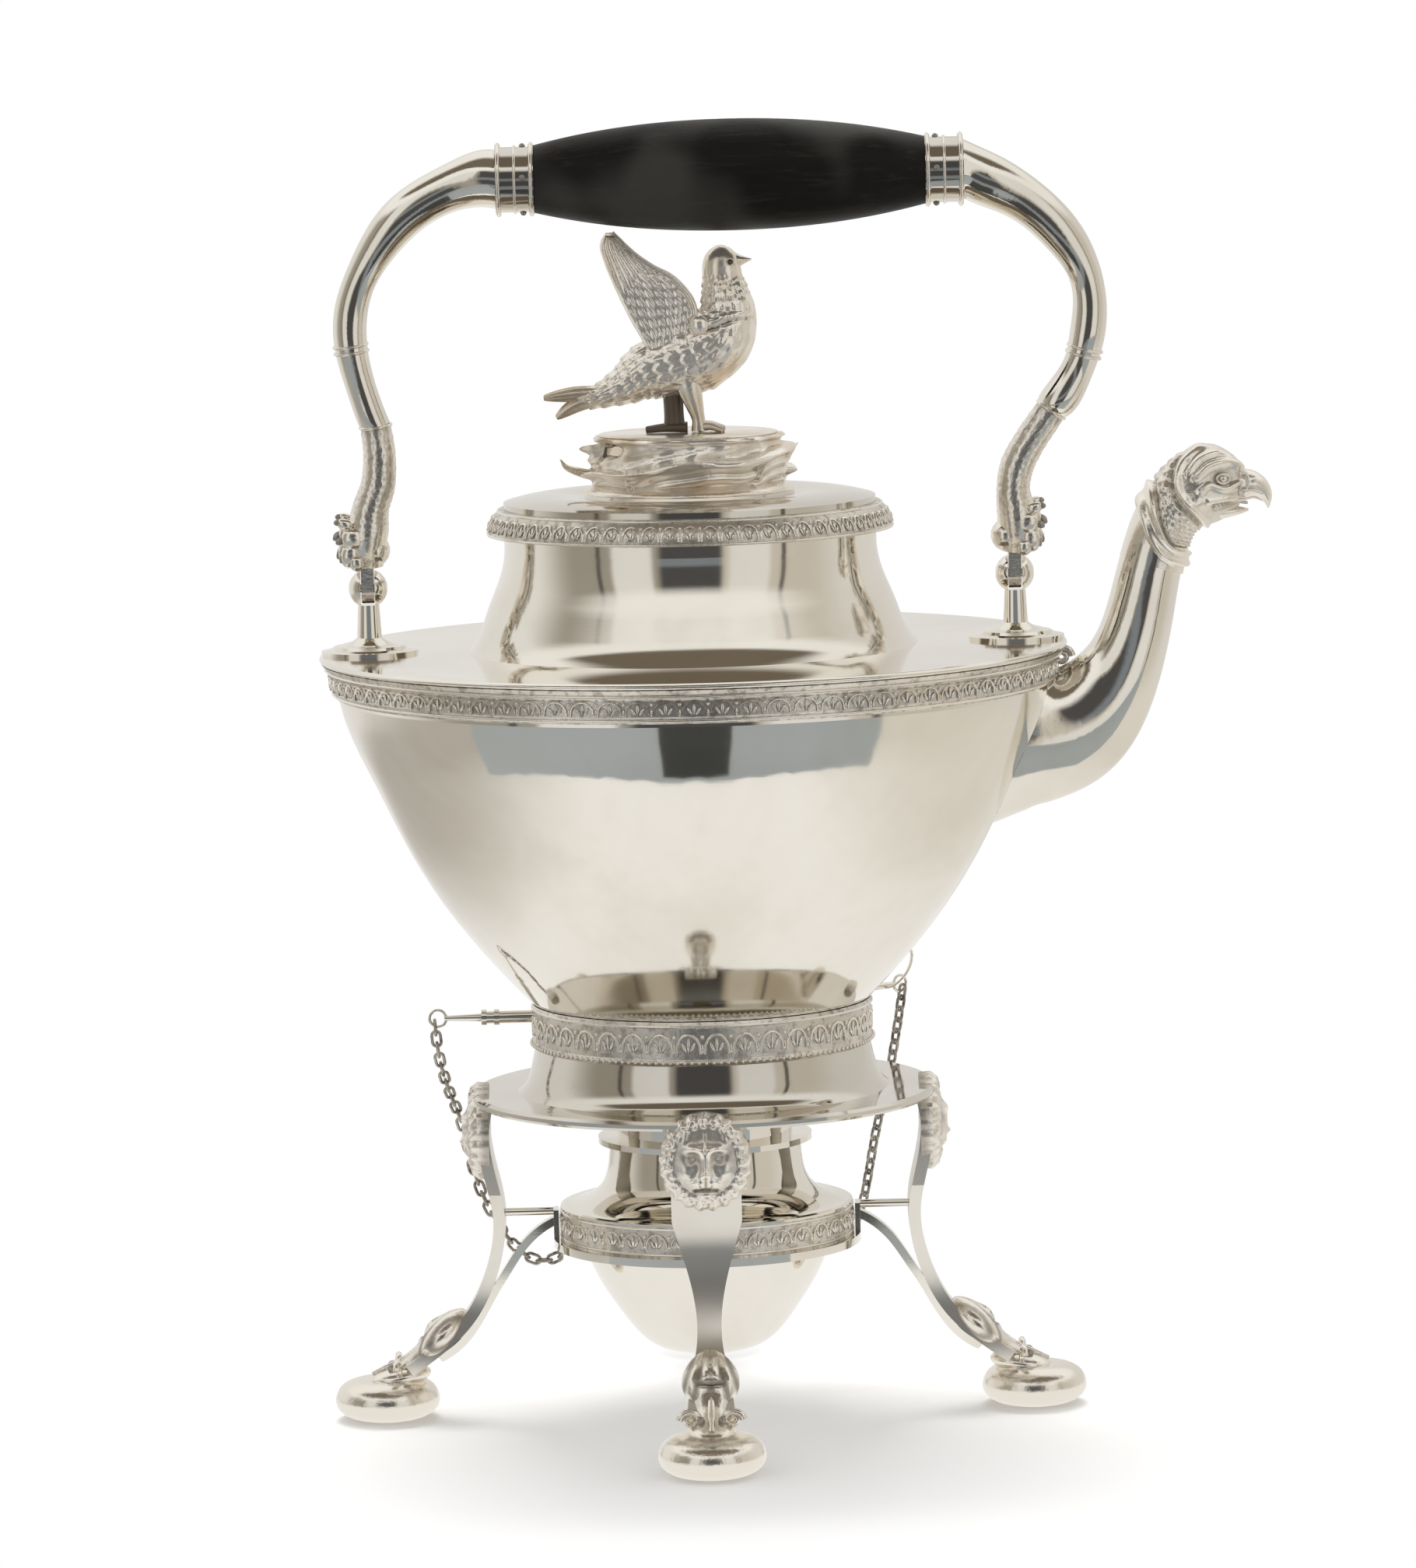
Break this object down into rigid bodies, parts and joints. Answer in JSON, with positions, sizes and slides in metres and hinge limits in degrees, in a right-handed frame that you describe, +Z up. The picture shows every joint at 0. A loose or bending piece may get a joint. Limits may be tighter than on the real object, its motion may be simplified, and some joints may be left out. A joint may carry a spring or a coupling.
{
  "type": "spirit kettle on stand",
  "caption": "Round silver tea kettle with a swinging wood-gripped handle, hinged lid with a dove finial and eagle-head spout, on a four-legged stand with a spirit lamp and chained locking pins.",
  "frame": {"origin": "centre of the bounding box in X and Y, on the plane the four feet stand on", "axes": "+Z up; +X towards the spout, along the handle's grip; -Y is the front, where one leg points"},
  "size_m": [0.2649, 0.209, 0.3587],
  "materials": {
    "polished_silver": "old polished silver with a soft shine",
    "cast_silver": "cast and chased silver, darkened in the hollows",
    "ebonised_wood": "near-black turned wood with a soft sheen",
    "cotton_wick": "plaited cotton"
  },
  "bodies": {
    "stand": {"stand_flange": "polished_silver", "stand_collar": "cast_silver", "leg_right": "polished_silver", "leg_back": "polished_silver", "leg_left": "polished_silver", "leg_front": "polished_silver", "mask_right": "cast_silver", "mask_back": "cast_silver", "mask_left": "cast_silver", "mask_front": "cast_silver", "brace_right": "cast_silver", "brace_back": "cast_silver", "brace_left": "cast_silver", "brace_front": "cast_silver", "foot_right": "cast_silver", "foot_back": "cast_silver", "foot_left": "cast_silver", "foot_front": "cast_silver", "lamp_ring": "cast_silver", "pin_guide_left": "polished_silver", "pin_guide_right": "polished_silver", "chain_left": "cast_silver", "chain_right": "cast_silver"},
    "kettle": {"kettle_bowl": "polished_silver", "shoulder_band": "cast_silver", "shoulder_plate": "polished_silver", "kettle_neck": "polished_silver", "neck_rim": "cast_silver", "kettle_foot_ring": "polished_silver", "spout_tube": "polished_silver", "spout_head": "cast_silver", "lid_hinge_fixed": "polished_silver", "lid_hinge_pin": "polished_silver", "handle_post_left": "polished_silver", "handle_post_right": "polished_silver", "pivot_pin_left": "polished_silver", "pivot_pin_right": "polished_silver"},
    "lid": {"lid_plate": "polished_silver", "lid_bezel": "polished_silver", "lid_hinge_leaf": "polished_silver", "dove_base": "cast_silver", "dove_body": "cast_silver", "dove_wing_near": "cast_silver", "dove_wing_far": "cast_silver"},
    "handle": {"handle_arm_left": "polished_silver", "handle_arm_right": "polished_silver", "handle_paw_left": "cast_silver", "handle_paw_right": "cast_silver", "ferrule_left": "polished_silver", "ferrule_right": "polished_silver", "handle_grip": "ebonised_wood", "grip_core": "polished_silver"},
    "lamp": {"lamp_bowl": "polished_silver", "lamp_band": "polished_silver", "lamp_top": "polished_silver", "burner_tube": "polished_silver", "wick": "cotton_wick"},
    "snuffer": {"snuffer_cap": "polished_silver"},
    "pin_left": {"lock_pin_left": "polished_silver"},
    "pin_right": {"lock_pin_right": "polished_silver"}
  },
  "joints": [
    {"name": "kettle_lift", "type": "slide", "parent": "stand", "child": "kettle", "axis": [0, 0, 1], "range_m": [0, 0.06]},
    {"name": "handle_swing", "type": "hinge", "parent": "kettle", "child": "handle", "pos_m": [-0.0278, 0, 0.232], "axis": [1, 0, 0], "range_deg": [0, 80]},
    {"name": "lid_hinge", "type": "hinge", "parent": "kettle", "child": "lid", "pos_m": [-0.0278, 0.0585, 0.2545], "axis": [-1, 0, 0], "range_deg": [0, 35]},
    {"name": "lamp_lift", "type": "slide", "parent": "stand", "child": "lamp", "axis": [0, 0, 1], "range_m": [0, 0.012]},
    {"name": "snuffer_lift", "type": "slide", "parent": "lamp", "child": "snuffer", "axis": [0, 0, 1], "range_m": [0, 0.005]},
    {"name": "pin_left_slide", "type": "slide", "parent": "stand", "child": "pin_left", "axis": [-1, 0, 0], "range_m": [0, 0.0016]},
    {"name": "pin_right_slide", "type": "slide", "parent": "stand", "child": "pin_right", "axis": [0.766, 0.6428, 0], "range_m": [0, 0.0016]}
  ]
}
